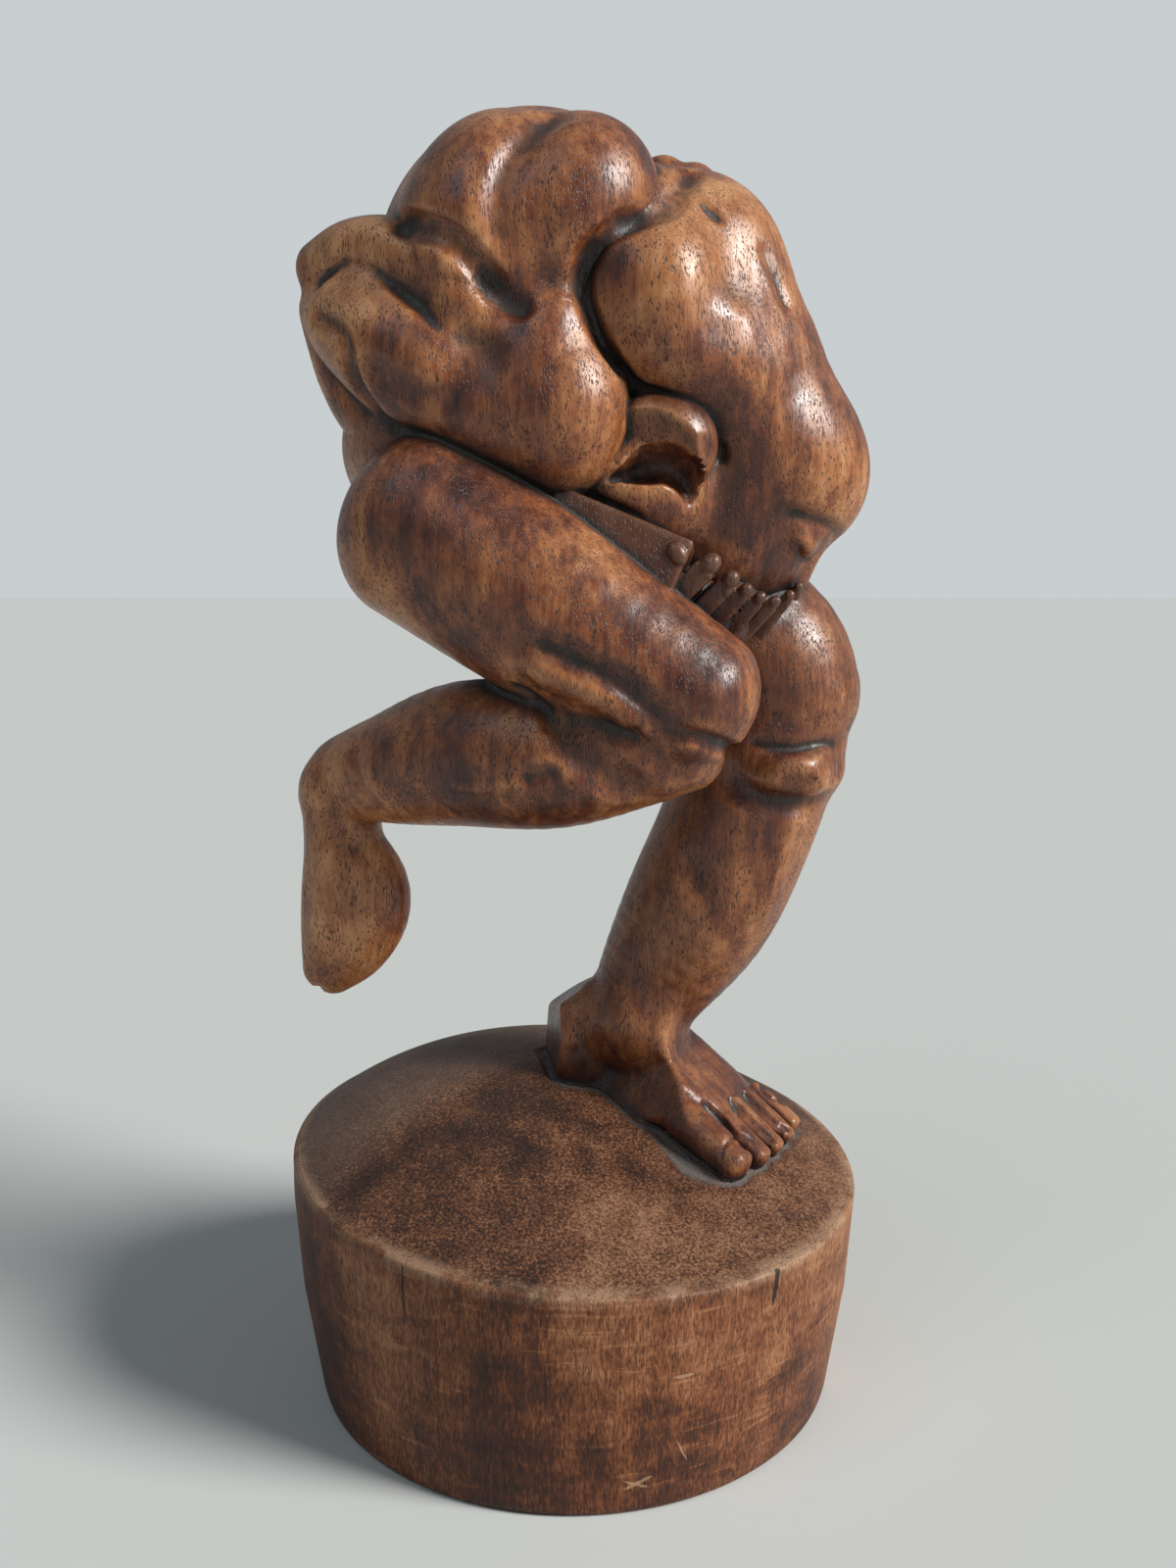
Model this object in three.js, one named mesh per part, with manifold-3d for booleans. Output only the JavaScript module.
// A carved wooden figure of a crouching yogi who stands on one leg and hides the face in both
// hands. It is cut from one upright log, so every limb stays inside the log's own radius.
// The carving is told in its masses: each limb, lobe, ear and hand is a solid of its own, parted
// from its neighbours along the carver's cuts.
// Millimetres, +Z up. X runs to the figure's front and Y to its left, the side it stands on.
// The origin is the middle of the flat underside.
import * as THREE from "three";
import { mergeVertices } from "three/addons/utils/BufferGeometryUtils.js";
import Module from "manifold-3d";

const wasm = await Module();
wasm.setup();

// The log that is left standing under the figure. Its top slants: the rim is lowest before the
// toes and highest on the far side, and the mound rises from it.
const LOG_RADIUS = 92;
const UNDERSIDE_WIDTH_SHARE = 0.91; // the log narrows sideways towards its underside
const WAIST_SHARE = 0.975; // and it is still narrower than the rim a little over halfway up
const WAIST_HEIGHT_SHARE = 0.55;
const RIM_HEIGHT = 64.5; // at its lowest
const RIM_SLANT = 18; // how much higher the rim is on the far side
const RIM_ROUND = 2.5;
const MOUND_RISE = 33.5;
const MOUND_TOP = { x: -8, y: 24 };
const MOUND_FALL = 2.2; // 1 is a cone, 2 a dome
const MOUND_FALL_CHANGE = 0.44; // steep before the toes, full behind the heel
const LOW_DIRECTION = -0.87; // the turn of the lowest side from the front, in radians
const LOG_SIDES = 56;
const MOUND_RINGS = 6;

// The cut between two masses, and how finely a mass is faceted
const CUT_GAP = 0.3;
const SIDES = 12;
const STEPS = 2;
const LUMP_RINGS = 8;

// The figure's height above the mound. Its places and girths below are drawn for a figure
// 302 tall, and all of them follow the real height.
const FIGURE_HEIGHT = 302;
const SCALE = FIGURE_HEIGHT / 302;
const BACK_RISE = 50; // from the middle of the back to its top

// Half widths of the limbs
const STANDING_HIP = 27;
const STANDING_THIGH = 26;
const STANDING_KNEE = 24;
const STANDING_CALF = 25;
const STANDING_ANKLE = 16;
const RAISED_HIP = 29.5;
const RAISED_THIGH = 26.5;
const RAISED_KNEE = 22;
const RAISED_CALF = 22;
const RAISED_ANKLE = 12;
const SHOULDER = 20;
const UPPER_ARM = 20.5;
const ELBOW = 9;
const FOREARM = 12;
const FIRST_FINGER = 2.4; // the fingers get thinner along the row
const LAST_FINGER = 1.8;
const PALM = 9;
const PALM_DEPTH = 7;
const THUMB = 8.5;

const UP = new THREE.Vector3(0, 0, 1);
const TO_THE_LEFT = new THREE.Vector3(0, 1, 0);
const MOUND_HEIGHT = RIM_HEIGHT + MOUND_RISE;

// A point of the figure: x and y from the log's axis, z above the top of the mound.
const place = (x, y, z) => new THREE.Vector3(x * SCALE, y * SCALE, MOUND_HEIGHT + z * SCALE);

// The joints of the body
const LEFT_HIP = place(-28, 26, 184);
const LEFT_KNEE = place(68, 2, 124);
const LEFT_ANKLE = place(22, 9, 18);
const RIGHT_HIP = place(-43, -28, 179);
const RIGHT_KNEE = place(35, -48, 129);
const RIGHT_ANKLE = place(-72, -8, 102);
const RIGHT_SHOULDER = place(-3.5, -32, 213);
const RIGHT_ELBOW = place(-72, -18, 248);
const BACK = place(-12, 0, 302 - BACK_RISE);
const NAPE = place(24, -2, 262);
const SKULL = place(57, -5, 202);
const FACE_FORWARD = new THREE.Vector3(0.755, 0, -0.656);
const FACE_UP = new THREE.Vector3(0.656, 0, 0.755);

// A point beside a joint.
const beside = (joint, x, y, z) =>
  joint.clone().add(new THREE.Vector3(x, y, z).multiplyScalar(SCALE));

// A closed geometry with shared corners becomes a solid that can be joined and cut.
function solidOf(geometry) {
  geometry.deleteAttribute("normal");
  geometry.deleteAttribute("uv");
  const merged = mergeVertices(geometry, 1e-4);
  const mesh = new wasm.Mesh({
    numProp: 3,
    vertProperties: new Float32Array(merged.attributes.position.array),
    triVerts: new Uint32Array(merged.index.array),
  });
  return new wasm.Manifold(mesh);
}

// Rings of the same number of points, each joined to the next, and a pole at either end.
function loft(rings, firstPole, lastPole) {
  const corners = [];
  const triangles = [];
  const sides = rings[0].length;
  rings.flat().forEach((p) => corners.push(p.x, p.y, p.z));
  corners.push(firstPole.x, firstPole.y, firstPole.z, lastPole.x, lastPole.y, lastPole.z);
  const first = rings.length * sides;
  for (let side = 0; side < sides; side++) {
    const next = (side + 1) % sides;
    for (let ring = 0; ring + 1 < rings.length; ring++) {
      const low = ring * sides;
      const high = low + sides;
      triangles.push(low + side, low + next, high + next, low + side, high + next, high + side);
    }
    const top = (rings.length - 1) * sides;
    triangles.push(first, next, side, first + 1, top + side, top + next);
  }
  const geometry = new THREE.BufferGeometry();
  geometry.setAttribute("position", new THREE.Float32BufferAttribute(corners, 3));
  geometry.setIndex(triangles);
  return geometry;
}

// A mass that swells and tapers along a spine and is round at both ends. A station is its middle,
// its half width and its half depth, and the depth is measured towards the given direction.
function mass(stations, { towards = UP, tip = 0.8, sides = SIDES, steps = STEPS } = {}) {
  return (grow = 0) => {
    const spine = new THREE.CatmullRomCurve3(stations.map((s) => s[0]));
    const girths = new THREE.CatmullRomCurve3(
      stations.map(([, wide, deep = wide]) =>
        new THREE.Vector3(wide * SCALE + grow, deep * SCALE + grow, 0)),
    );
    const count = (stations.length - 1) * steps;
    const ringAt = (middle, along, girth, shrink) => {
      const wide = new THREE.Vector3().crossVectors(along, towards).normalize();
      const deep = new THREE.Vector3().crossVectors(wide, along);
      return Array.from({ length: sides }, (_, side) => {
        const turn = (2 * Math.PI * side) / sides;
        return middle
          .clone()
          .addScaledVector(wide, girth.x * shrink * Math.cos(turn))
          .addScaledVector(deep, -girth.y * shrink * Math.sin(turn));
      });
    };
    const rings = [];
    for (let step = 0; step <= count; step++) {
      const t = step / count;
      rings.push(ringAt(spine.getPoint(t), spine.getTangent(t), girths.getPoint(t), 1));
    }
    const poles = [0, 1].map((t) => {
      const middle = spine.getPoint(t);
      const along = spine.getTangent(t);
      const girth = girths.getPoint(t);
      const reach = Math.min(girth.x, girth.y) * tip * (t ? 1 : -1);
      for (const angle of [Math.PI / 6, Math.PI / 3]) {
        const centre = middle.clone().addScaledVector(along, reach * Math.sin(angle));
        const ring = ringAt(centre, along, girth, Math.cos(angle));
        if (t) rings.push(ring);
        else rings.unshift(ring);
      }
      return middle.clone().addScaledVector(along, reach);
    });
    return solidOf(loft(rings, poles[0], poles[1]));
  };
}

// An egg-shaped lump with three half sizes, turned so that its z runs along the given direction.
function lump(middle, half, along = UP) {
  return (grow = 0) => {
    const geometry = new THREE.SphereGeometry(1, SIDES, LUMP_RINGS);
    geometry.rotateX(Math.PI / 2);
    geometry.scale(...half.map((size) => size * SCALE + grow));
    const turn = new THREE.Quaternion().setFromUnitVectors(UP, along.clone().normalize());
    geometry.applyQuaternion(turn);
    geometry.translate(middle.x, middle.y, middle.z);
    return solidOf(geometry);
  };
}

// Several forms carved as one.
function joined(...forms) {
  return (grow = 0) => forms.map((form) => form(grow)).reduce((sum, next) => sum.add(next));
}

// A form with flat cuts. Each cut is a point on it and the direction that it faces.
function flattened(form, cuts) {
  return (grow = 0) =>
    cuts.reduce((solid, [point, facing]) => {
      const inward = new THREE.Vector3(...facing).normalize().negate();
      return solid.trimByPlane(inward.toArray(), inward.dot(point) - grow);
    }, form(grow));
}

// A form with another taken out of it.
function hollowed(form, hollow) {
  return (grow = 0) => form(grow).subtract(hollow(-grow));
}

// The part of a form that lies inside a zone, with its wall on the zone's surface.
function shared(form, zone) {
  return (grow = 0) => form(grow).intersect(zone(grow));
}

// The same form on the figure's other side, across an upright plane between left and right.
function otherSide(form, plane = 0) {
  return (grow = 0) => {
    const mesh = form(grow).getMesh();
    const corners = Float32Array.from(mesh.vertProperties);
    for (let i = 1; i < corners.length; i += 3) corners[i] = 2 * plane - corners[i];
    const triangles = Uint32Array.from(mesh.triVerts);
    for (let i = 0; i < triangles.length; i += 3) {
      [triangles[i], triangles[i + 1]] = [triangles[i + 1], triangles[i]];
    }
    const flipped = new wasm.Mesh({ numProp: 3, vertProperties: corners, triVerts: triangles });
    return new wasm.Manifold(flipped);
  };
}

// A point between two joints, moved sideways from the line that joins them.
function between(a, b, share, move = [0, 0, 0]) {
  return beside(a.clone().lerp(b, share), ...move);
}

// The log: a straight side that narrows to the underside, a round rim, and a mound whose top
// lies off the middle, under the heel.
function logForm(grow = 0) {
  const towardsLow = (turn) => Math.cos(turn - LOW_DIRECTION);
  const rimHeight = (turn) => RIM_HEIGHT + (RIM_SLANT * (1 - towardsLow(turn))) / 2;
  const ring = (share, heightAt, narrow = 1, middle = { x: 0, y: 0 }) =>
    Array.from({ length: LOG_SIDES }, (_, side) => {
      const turn = (2 * Math.PI * side) / LOG_SIDES;
      const reach = (LOG_RADIUS + grow) * share;
      return new THREE.Vector3(
        middle.x + reach * narrow * Math.cos(turn),
        middle.y + reach * Math.sin(turn),
        heightAt(turn),
      );
    });
  const rings = [
    ring(1, () => -grow, UNDERSIDE_WIDTH_SHARE),
    ring(1, () => RIM_HEIGHT * WAIST_HEIGHT_SHARE, WAIST_SHARE),
    ring(1, (turn) => rimHeight(turn) - RIM_ROUND + grow),
  ];
  const rimShare = 1 - RIM_ROUND / LOG_RADIUS;
  for (let step = 0; step < MOUND_RINGS; step++) {
    const out = 1 - step / MOUND_RINGS;
    const middle = { x: MOUND_TOP.x * (1 - out), y: MOUND_TOP.y * (1 - out) };
    const moundHeight = (turn) => {
      const fall = MOUND_FALL * Math.exp(-MOUND_FALL_CHANGE * towardsLow(turn));
      return rimHeight(turn) + (MOUND_HEIGHT - rimHeight(turn)) * (1 - out ** fall) + grow;
    };
    rings.push(ring(rimShare * out, moundHeight, 1, middle));
  }
  const top = new THREE.Vector3(MOUND_TOP.x, MOUND_TOP.y, MOUND_HEIGHT + grow);
  return solidOf(loft(rings, new THREE.Vector3(0, 0, -grow), top));
}

// The standing foot is a wedge that points to the front and a little to the right. Its near wall
// and the top that slopes down over the toes are flat, and its sole is cut by the mound.
const HEEL = place(3, 14, 4);
const TOES = [
  { root: beside(HEEL, 32, -34, -11), tip: beside(HEEL, 47.5, -46, -22), wide: 6.3, tall: 6.5 },
  { root: beside(HEEL, 41.5, -28.5, -11), tip: beside(HEEL, 56, -38, -22.5), wide: 4.2, tall: 4.8 },
  { root: beside(HEEL, 48.5, -20, -12.5), tip: beside(HEEL, 62, -29, -22), wide: 3.7, tall: 4.5 },
  { root: beside(HEEL, 53, -11, -13.5), tip: beside(HEEL, 67, -20, -21.5), wide: 3.7, tall: 4.3 },
  { root: beside(HEEL, 57, -2, -14.5), tip: beside(HEEL, 70, -10, -22), wide: 3.2, tall: 4 },
];
const sole = mass(
  [
    [HEEL, 20, 21],
    [beside(HEEL, 18, -10, -1), 22, 20],
    [beside(HEEL, 36, -14, -10), 24, 13],
    [beside(HEEL, 48, -20, -20), 25, 5],
  ],
  { steps: 1, tip: 0.5 },
);
const toes = TOES.map(({ root, tip, wide, tall }) =>
  mass([[root, wide, tall], [tip, wide, tall]], { sides: 6, steps: 1, tip: 0.6 }),
);
const FOOT_WALL = [beside(HEEL, 24.5, -37.5, -17.5), [-0.69, -0.62, 0.37]];
const FOOT_TOP = [beside(HEEL, 39.5, -34.5, -5.5), [0.56, -0.25, 0.79]];
const HEEL_BACK = [beside(HEEL, -10.5, 2, 16), [-0.97, -0.2, 0.05]];
const HEEL_TOP = [beside(HEEL, -10, 2, 16), [-0.55, 0.1, 0.83]];
const standingFoot = joined(
  flattened(joined(sole, ...toes), [FOOT_WALL, FOOT_TOP]),
  flattened(lump(beside(HEEL, -1, 0, 4), [17, 15, 23]), [HEEL_BACK, HEEL_TOP]),
);

const standingShin = mass(
  [
    [between(LEFT_KNEE, LEFT_ANKLE, 0.08, [-1, 0, 0]), STANDING_KNEE + 0.5],
    [between(LEFT_KNEE, LEFT_ANKLE, 0.4, [2.5, 0, 0]), STANDING_CALF],
    [between(LEFT_KNEE, LEFT_ANKLE, 0.65, [2.5, 0, 0]), STANDING_CALF - 0.5],
    [between(LEFT_KNEE, LEFT_ANKLE, 0.88, [-1, 0, 0]), (STANDING_CALF + STANDING_ANKLE) / 2 - 1.5],
    [beside(LEFT_ANKLE, -1, -2, 0), STANDING_ANKLE],
  ],
  { towards: TO_THE_LEFT, tip: 0.5 },
);

const standingThigh = joined(
  mass(
    [
      [LEFT_HIP, STANDING_HIP],
      [between(LEFT_HIP, LEFT_KNEE, 0.5, [0, 0, 10]), STANDING_THIGH],
      [between(LEFT_HIP, LEFT_KNEE, 0.86, [2, 0, 9]), STANDING_THIGH + 1],
      [LEFT_KNEE, STANDING_KNEE],
    ],
    { steps: 1 },
  ),
  lump(beside(LEFT_KNEE, -1, -3, -23), [19.5, 25, 11]),
);

// The raised leg, with the swells over and under the bend of its knee
const raisedThigh = joined(
  mass([
    [RIGHT_HIP, RAISED_HIP],
    [between(RIGHT_HIP, RIGHT_KNEE, 0.5, [-1, -4, 0]), RAISED_THIGH],
    [RIGHT_KNEE, RAISED_KNEE],
  ]),
  lump(beside(RIGHT_KNEE, -20, 8, -6), [24, 20, 10]),
);

const raisedShin = joined(
  mass(
    [
      [between(RIGHT_KNEE, RIGHT_ANKLE, 0.1, [-2, -2, -10]), RAISED_KNEE - 5],
      [between(RIGHT_KNEE, RIGHT_ANKLE, 0.36, [-1, -8, -7]), RAISED_CALF - 1],
      [between(RIGHT_KNEE, RIGHT_ANKLE, 0.62, [0, -5, -1]), RAISED_CALF],
      [between(RIGHT_KNEE, RIGHT_ANKLE, 0.85, [0, -3, -1]), (RAISED_CALF + RAISED_ANKLE) / 2],
      [RIGHT_ANKLE, RAISED_ANKLE],
    ],
    { steps: 1 },
  ),
  lump(beside(RIGHT_KNEE, -7, 5, -19), [16, 18, 9]),
);

const raisedFoot = joined(
  mass(
    [
      [beside(RIGHT_ANKLE, -2, 1, -8), 12, 12],
      [beside(RIGHT_ANKLE, -1, 2, -24), 13, 12],
      [beside(RIGHT_ANKLE, 2, 3, -40), 17.5, 12],
      [beside(RIGHT_ANKLE, -1, 3, -53), 15, 10],
      [beside(RIGHT_ANKLE, -8, 4, -66), 8, 6],
    ],
    { towards: TO_THE_LEFT, steps: 1, tip: 0.6 },
  ),
  lump(beside(RIGHT_ANKLE, -4, 0, -4), [10, 12, 10]),
);

const hips = lump(place(-36, 6, 202), [36, 46, 32]);

// The rounded back and the four lobes of muscle over it
const backCore = lump(BACK, [48, 44, BACK_RISE]);
const BLADE_LEAN = new THREE.Vector3(0.47, 0.14, 0.87);
const FLANK_LEAN = new THREE.Vector3(0.31, 0.15, 0.94);
const rightBladeLobe = lump(beside(BACK, 11, -24, 15), [25, 26, 29.5], BLADE_LEAN);
const rightFlankLobe = lump(beside(BACK, -14, -24, 10.5), [25, 27, 34.5], FLANK_LEAN);

// Head and neck are one bowed mass, parted round the skull. A broad plate comes down either side
// of the neck from the back to the ear, and the nape stands out between them.
const onHead = (forward, up) =>
  SKULL.clone()
    .addScaledVector(FACE_FORWARD, forward * SCALE)
    .addScaledVector(FACE_UP, up * SCALE);
const JAW = onHead(8, -34);
const neckPlate = mass(
  [
    [beside(NAPE, 0.5, -22, 3.5), 14, 18],
    [beside(NAPE, -1, -23, -6.5), 20, 23],
    [beside(NAPE, 1.5, -23, -18), 22, 24],
    [beside(NAPE, 8.5, -20, -30), 22, 24],
    [beside(NAPE, 19, -16, -41), 20, 22],
  ],
  { towards: TO_THE_LEFT, sides: 10, steps: 1 },
);
const NAPE_LEAN = new THREE.Vector3(-0.47, 0.14, 0.87);
const cheek = lump(beside(SKULL, -38, -13, -9.5), [25, 24, 27]);
const skullAndJaw = joined(
  lump(onHead(2, 0), [29, 27.5, 34.5], FACE_FORWARD),
  mass([[SKULL, 27, 28], [JAW, 22, 20]], { towards: FACE_FORWARD, steps: 1 }),
);
const bowedNeck = joined(
  mass(
    [
      [NAPE, 35, 25],
      [between(NAPE, SKULL, 0.6, [0, 0, 6]), 31, 29],
      [SKULL, 26, 27],
    ],
    { towards: FACE_UP.clone().negate(), sides: 10, tip: 0.5 },
  ),
  lump(beside(NAPE, 19, -2, -3.5), [19.5, 24, 25], NAPE_LEAN),
  neckPlate,
  otherSide(neckPlate),
  cheek,
  otherSide(cheek, SKULL.y),
);
const HEAD_REACH = 40;
const headZone = lump(onHead(0, -8), [HEAD_REACH, HEAD_REACH, HEAD_REACH + 4]);
const head = shared(joined(skullAndJaw, bowedNeck), headZone);
const KNOB = 7;
const spineKnobs = [beside(NAPE, 3, 2, 21), beside(NAPE, 12, 2, 19)];
const neck = joined(bowedNeck, ...spineKnobs.map((knob) => lump(knob, [KNOB, KNOB, KNOB - 1])));

// The arm is bent double. Two long lobes run from the elbow to the ball of the shoulder, the
// upper one over the lower, and the forearm comes back beneath them to the face.
const rightUpperArm = joined(
  mass(
    [
      [beside(RIGHT_ELBOW, 0, 0, -6), ELBOW],
      [beside(RIGHT_ELBOW, 11, -6, -12), UPPER_ARM - 5.5, UPPER_ARM - 4.5],
      [beside(RIGHT_ELBOW, 24, -10, -20), UPPER_ARM - 1.5, UPPER_ARM - 0.5],
      [beside(RIGHT_ELBOW, 38, -12, -29), UPPER_ARM, UPPER_ARM + 1.5],
      [beside(RIGHT_SHOULDER, -14.5, 0, -1), UPPER_ARM, UPPER_ARM + 0.5],
      [beside(RIGHT_SHOULDER, -0.5, 0, -4), SHOULDER - 1, SHOULDER],
    ],
    { towards: TO_THE_LEFT, steps: 1 },
  ),
  mass(
    [
      [beside(RIGHT_ELBOW, -1.5, 2, 5), ELBOW],
      [beside(RIGHT_ELBOW, 9.5, -4, 7.5), ELBOW + 2, ELBOW + 3],
      [beside(RIGHT_ELBOW, 21.5, -8, 5.5), ELBOW + 3.5, ELBOW + 6],
      [beside(RIGHT_ELBOW, 33, -11, -1), ELBOW + 4, ELBOW + 8],
      [beside(RIGHT_ELBOW, 45.5, -13, -12), ELBOW + 5, ELBOW + 10],
      [beside(RIGHT_SHOULDER, -9, 0, 11), SHOULDER - 3, SHOULDER],
    ],
    { towards: TO_THE_LEFT, steps: 1 },
  ),
  lump(RIGHT_SHOULDER, [SHOULDER, SHOULDER + 2.5, SHOULDER + 7]),
);
const rightForearm = mass(
  [
    [beside(RIGHT_ELBOW, -5.5, 8, -7), ELBOW / 2, 6],
    [beside(RIGHT_ELBOW, -1.5, 8, -15), ELBOW - 2.5, 8],
    [beside(RIGHT_ELBOW, 3.5, 8, -26), ELBOW - 1, 10],
    [beside(RIGHT_ELBOW, 11, 6, -36.5), ELBOW, FOREARM],
    [beside(RIGHT_ELBOW, 27, 0, -45.5), FOREARM, FOREARM + 2],
    [beside(RIGHT_SHOULDER, -3.5, 4, -23.5), FOREARM, FOREARM],
  ],
  { towards: TO_THE_LEFT, steps: 1 },
);

// The palms close over the face. All eight fingertips stand in one row from the right cheek
// round to the front. The left hand has the right one's palm and thumb on its own side, and its
// palm goes on under the face to its fingers.
const FINGERS_OF_A_HAND = 4;
const FINGERS = 2 * FINGERS_OF_A_HAND;
const FINGER_LENGTH = 19;
const fingerRow = new THREE.CatmullRomCurve3([
  beside(SKULL, -18, -42, -33.5),
  beside(SKULL, -6.5, -34, -41.5),
  beside(SKULL, 3.5, -23, -45.5),
  beside(SKULL, 14.5, 1, -39),
]);
const FINGER_SLANT = new THREE.Vector3(-0.56, 0.16, -0.81);
const fingertip = (number) => fingerRow.getPointAt(number / (FINGERS - 1));
const finger = (number) => {
  const half = THREE.MathUtils.lerp(FIRST_FINGER, LAST_FINGER, number / (FINGERS - 1));
  const tip = fingertip(number);
  const root = tip.clone().addScaledVector(FINGER_SLANT, FINGER_LENGTH * SCALE);
  return mass([[tip, half], [root, half]], { sides: 6, steps: 1 });
};
const fingers = (first) => Array.from({ length: FINGERS_OF_A_HAND }, (_, i) => finger(first + i));
const thumb = mass(
  [
    [beside(SKULL, -57, -35, -25.5), THUMB + 0.5, THUMB - 0.5],
    [beside(SKULL, -47, -37, -29), THUMB, THUMB - 0.5],
    [beside(SKULL, -36, -38, -33.5), THUMB - 0.5, THUMB - 1],
    [beside(SKULL, -28, -39, -36), THUMB - 1.5, THUMB - 2],
  ],
  { towards: TO_THE_LEFT, sides: 8, steps: 1, tip: 0.6 },
);
const palm = (spots) =>
  mass(
    spots.map((spot) => [spot, PALM, PALM_DEPTH]),
    { towards: TO_THE_LEFT, sides: 8, steps: 1, tip: 0.5 },
  );
const rightPalm = palm([
  beside(SKULL, -41, -29, -35.5),
  beside(SKULL, -24, -31, -46.5),
  beside(SKULL, -11.5, -25, -52.5),
]);
const leftPalm = palm([
  beside(SKULL, -8, -21, -53),
  beside(SKULL, 2, -8, -53.5),
  beside(SKULL, 1, 14, -53),
  beside(SKULL, -11, 33, -52.5),
]);
const rightHand = joined(rightPalm, thumb, ...fingers(0));
const leftHand = joined(
  leftPalm,
  otherSide(rightPalm),
  otherSide(thumb),
  ...fingers(FINGERS_OF_A_HAND),
);

// The ear is an oval with a hollow along its lower edge.
const earHollow = mass(
  [
    [beside(SKULL, -40, -41, -3.5), 5, 4],
    [beside(SKULL, -33, -42, -6), 6, 6],
    [beside(SKULL, -25, -42, -9.5), 5, 5],
  ],
  { sides: 8, steps: 1 },
);
const EAR_LEAN = new THREE.Vector3(-0.42, 0.14, 0.89);
const earOval = lump(beside(SKULL, -31.5, -29, -0.5), [17.5, 10, 15.5], EAR_LEAN);
const rightEar = hollowed(earOval, earHollow);

// Every node in the order of the carving: a later one gives way to those before it.
const OILED_WOOD = { color: 0x8a5228, roughness: 0.42, metalness: 0 };
const DRY_WOOD = { color: 0x7a583c, roughness: 0.62, metalness: 0 };
const NODES = [
  ["base_block", logForm, DRY_WOOD],
  ["standing_foot", standingFoot, OILED_WOOD],
  ["standing_shin", standingShin, OILED_WOOD],
  ["raised_thigh", raisedThigh, OILED_WOOD],
  ["raised_shin", raisedShin, OILED_WOOD],
  ["raised_foot", raisedFoot, OILED_WOOD],
  ["hips", hips, OILED_WOOD],
  ["right_upper_arm", rightUpperArm, OILED_WOOD],
  ["left_upper_arm", otherSide(rightUpperArm), OILED_WOOD],
  ["right_forearm", rightForearm, OILED_WOOD],
  ["left_forearm", otherSide(rightForearm), OILED_WOOD],
  ["right_hand", rightHand, OILED_WOOD],
  ["left_hand", leftHand, OILED_WOOD],
  ["standing_thigh", standingThigh, OILED_WOOD],
  ["back_core", backCore, OILED_WOOD],
  ["right_blade_lobe", rightBladeLobe, OILED_WOOD],
  ["left_blade_lobe", otherSide(rightBladeLobe), OILED_WOOD],
  ["right_flank_lobe", rightFlankLobe, OILED_WOOD],
  ["left_flank_lobe", otherSide(rightFlankLobe), OILED_WOOD],
  ["head", head, OILED_WOOD],
  ["right_ear", rightEar, OILED_WOOD],
  ["left_ear", otherSide(rightEar, SKULL.y), OILED_WOOD],
  ["neck", neck, OILED_WOOD],
];

// A cut can leave a chip on the far side of a neighbour, and only the main body is kept.
function mainBody(solid) {
  const bodies = solid.decompose();
  return bodies.reduce((a, b) => (b.volume() > a.volume() ? b : a));
}

function meshOf(name, solid, finish) {
  const { vertProperties, triVerts } = solid.getMesh();
  const geometry = new THREE.BufferGeometry();
  geometry.setAttribute("position", new THREE.Float32BufferAttribute(vertProperties, 3));
  geometry.setIndex(Array.from(triVerts));
  geometry.computeVertexNormals();
  const mesh = new THREE.Mesh(geometry, new THREE.MeshStandardMaterial(finish));
  mesh.name = name;
  return mesh;
}

const statue = new THREE.Group();
let carved = null;
for (const [name, form, finish] of NODES) {
  const whole = form();
  const solid = carved ? mainBody(whole.subtract(carved)) : whole;
  statue.add(meshOf(name, solid, finish));
  const grown = form(CUT_GAP);
  carved = carved ? carved.add(grown) : grown;
}

export default statue;
